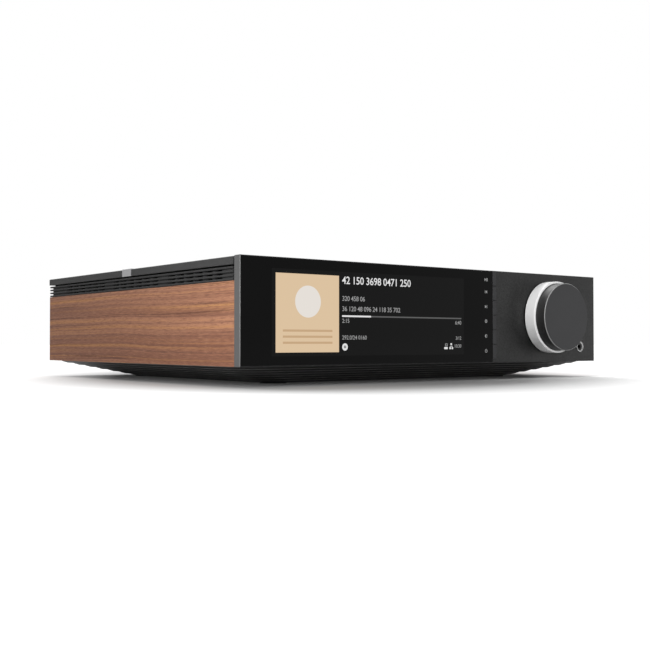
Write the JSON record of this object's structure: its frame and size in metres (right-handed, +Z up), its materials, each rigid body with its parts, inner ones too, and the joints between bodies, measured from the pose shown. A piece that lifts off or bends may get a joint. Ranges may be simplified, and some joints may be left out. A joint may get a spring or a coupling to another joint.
{
  "type": "streaming amplifier",
  "caption": "Low wide streaming amplifier: black glass display, column of keys, double dial, walnut side panels, side vents and a stepped rounded base, with a full rear panel.",
  "frame": {"origin": "on the surface the feet stand on, under the middle of the whole object", "axes": "+X to the right seen from the front, +Y towards the rear, +Z up"},
  "size_m": [0.377, 0.35, 0.089],
  "materials": {
    "plate_metal": "blasted and anodised dark grey, fine grain",
    "dark_metal": "satin anodised dark grey",
    "bright_metal": "clear anodised, fine turned finish",
    "polished_ring": "polished plating",
    "black_glass": "gloss black glass, printed black behind",
    "display_panel": "dark display panel",
    "cover_paint": "fine satin dark grey paint",
    "vent_paint": "satin dark grey paint",
    "walnut": "oiled walnut, grain along the depth",
    "base_plastic": "matt near-black moulding",
    "foot_rubber": "matt black rubber",
    "rear_paint": "fine matt black paint",
    "zinc_sheet": "zinc-plated sheet steel",
    "black_screws": "black zinc",
    "bare_steel": "bright steel",
    "bare_brass": "bare brass",
    "gold_metal": "gold-plated brass",
    "black_plastic": "black moulding",
    "rocker_plastic": "glossy black moulding",
    "cap_plastic": "black moulding",
    "green_board": "green solder resist",
    "heatsink_metal": "black anodised extrusion",
    "cable_plastic": "white film cable"
  },
  "bodies": {
    "chassis": {"amplifier_board": "green_board", "amplifier_heatsink": "heatsink_metal", "base_feet": "foot_rubber", "base_screws": "black_screws", "board_standoffs": "bare_brass", "casing_screws": "black_screws", "chassis_tray": "zinc_sheet", "cover_tab": "dark_metal", "display_board": "green_board", "display_cable": "cable_plastic", "display_module": "display_panel", "dual_encoder": "black_plastic", "encoder_bush": "bare_brass", "front_fascia": "plate_metal", "front_glass": "black_glass", "front_subframe": "zinc_sheet", "hdmi_socket": "bare_steel", "headphone_jack": "black_plastic", "inlet_blades": "bare_brass", "jack_ring": "polished_ring", "key_board": "green_board", "lan_socket": "zinc_sheet", "main_board": "green_board", "mains_inlet": "black_plastic", "mains_switch": "black_plastic", "optical_socket": "black_plastic", "panel_magnets": "polished_ring", "phono_barrels": "gold_metal", "phono_block": "black_plastic", "phono_cores": "black_plastic", "post_cores": "gold_metal", "post_feet": "black_plastic", "power_supply": "green_board", "rear_panel": "rear_paint", "side_panel_left": "walnut", "side_panel_right": "walnut", "stepped_base": "base_plastic", "top_cover": "cover_paint", "usb_socket": "bare_steel", "vent_grille_left": "vent_paint", "vent_grille_right": "vent_paint"},
    "volume_knob": {"volume_knob": "dark_metal", "knob_spindle": "bare_steel"},
    "selector_ring": {"selector_ring": "bright_metal", "ring_sleeve": "bare_brass"},
    "switch_rocker": {"switch_rocker": "rocker_plastic"},
    "play_key": {"play_key": "dark_metal"},
    "skip_back_key": {"skip_back_key": "dark_metal"},
    "skip_forward_key": {"skip_forward_key": "dark_metal"},
    "source_key": {"source_key": "dark_metal"},
    "home_key": {"home_key": "dark_metal"},
    "power_key": {"power_key": "dark_metal"},
    "post_collar_1": {"post_collar_1": "gold_metal"},
    "post_cap_1": {"post_cap_1": "cap_plastic"},
    "post_collar_2": {"post_collar_2": "gold_metal"},
    "post_cap_2": {"post_cap_2": "cap_plastic"},
    "post_collar_3": {"post_collar_3": "gold_metal"},
    "post_cap_3": {"post_cap_3": "cap_plastic"},
    "post_collar_4": {"post_collar_4": "gold_metal"},
    "post_cap_4": {"post_cap_4": "cap_plastic"}
  },
  "joints": [
    {"name": "volume_turn", "type": "hinge", "parent": "chassis", "child": "volume_knob", "pos_m": [0.125, -0.155, 0.052], "axis": [0, 1, 0], "continuous": true},
    {"name": "selector_turn", "type": "hinge", "parent": "chassis", "child": "selector_ring", "pos_m": [0.125, -0.155, 0.052], "axis": [0, 1, 0], "continuous": true},
    {"name": "play_press", "type": "slide", "parent": "chassis", "child": "play_key", "axis": [0, 1, 0], "range_m": [0, 0.0008], "stiffness_N_per_m": 800, "springref_m": -0.0012},
    {"name": "skip_back_press", "type": "slide", "parent": "chassis", "child": "skip_back_key", "axis": [0, 1, 0], "range_m": [0, 0.0008], "stiffness_N_per_m": 800, "springref_m": -0.0012},
    {"name": "skip_forward_press", "type": "slide", "parent": "chassis", "child": "skip_forward_key", "axis": [0, 1, 0], "range_m": [0, 0.0008], "stiffness_N_per_m": 800, "springref_m": -0.0012},
    {"name": "source_press", "type": "slide", "parent": "chassis", "child": "source_key", "axis": [0, 1, 0], "range_m": [0, 0.0008], "stiffness_N_per_m": 800, "springref_m": -0.0012},
    {"name": "home_press", "type": "slide", "parent": "chassis", "child": "home_key", "axis": [0, 1, 0], "range_m": [0, 0.0008], "stiffness_N_per_m": 800, "springref_m": -0.0012},
    {"name": "power_press", "type": "slide", "parent": "chassis", "child": "power_key", "axis": [0, 1, 0], "range_m": [0, 0.0008], "stiffness_N_per_m": 800, "springref_m": -0.0012},
    {"name": "mains_rock", "type": "hinge", "parent": "chassis", "child": "switch_rocker", "pos_m": [-0.11008, 0.157, 0.038], "axis": [1, 0, 0], "range_deg": [-20, 0]},
    {"name": "collar_slide_1", "type": "slide", "parent": "chassis", "child": "post_collar_1", "axis": [0, 1, 0], "range_m": [0, 0.003]},
    {"name": "cap_turn_1", "type": "hinge", "parent": "post_collar_1", "child": "post_cap_1", "pos_m": [-0.072, 0.169, 0.048], "axis": [0, 1, 0], "range_deg": [0, 1090]},
    {"name": "collar_slide_2", "type": "slide", "parent": "chassis", "child": "post_collar_2", "axis": [0, 1, 0], "range_m": [0, 0.003]},
    {"name": "cap_turn_2", "type": "hinge", "parent": "post_collar_2", "child": "post_cap_2", "pos_m": [-0.048, 0.169, 0.048], "axis": [0, 1, 0], "range_deg": [0, 1090]},
    {"name": "collar_slide_3", "type": "slide", "parent": "chassis", "child": "post_collar_3", "axis": [0, 1, 0], "range_m": [0, 0.003]},
    {"name": "cap_turn_3", "type": "hinge", "parent": "post_collar_3", "child": "post_cap_3", "pos_m": [-0.024, 0.169, 0.048], "axis": [0, 1, 0], "range_deg": [0, 1090]},
    {"name": "collar_slide_4", "type": "slide", "parent": "chassis", "child": "post_collar_4", "axis": [0, 1, 0], "range_m": [0, 0.003]},
    {"name": "cap_turn_4", "type": "hinge", "parent": "post_collar_4", "child": "post_cap_4", "pos_m": [0, 0.169, 0.048], "axis": [0, 1, 0], "range_deg": [0, 1090]}
  ],
  "couplings": [
    {"joint": "cap_turn_1", "follows": "collar_slide_1", "rad_per_m": 6283.2},
    {"joint": "cap_turn_2", "follows": "collar_slide_2", "rad_per_m": 6283.2},
    {"joint": "cap_turn_3", "follows": "collar_slide_3", "rad_per_m": 6283.2},
    {"joint": "cap_turn_4", "follows": "collar_slide_4", "rad_per_m": 6283.2}
  ]
}
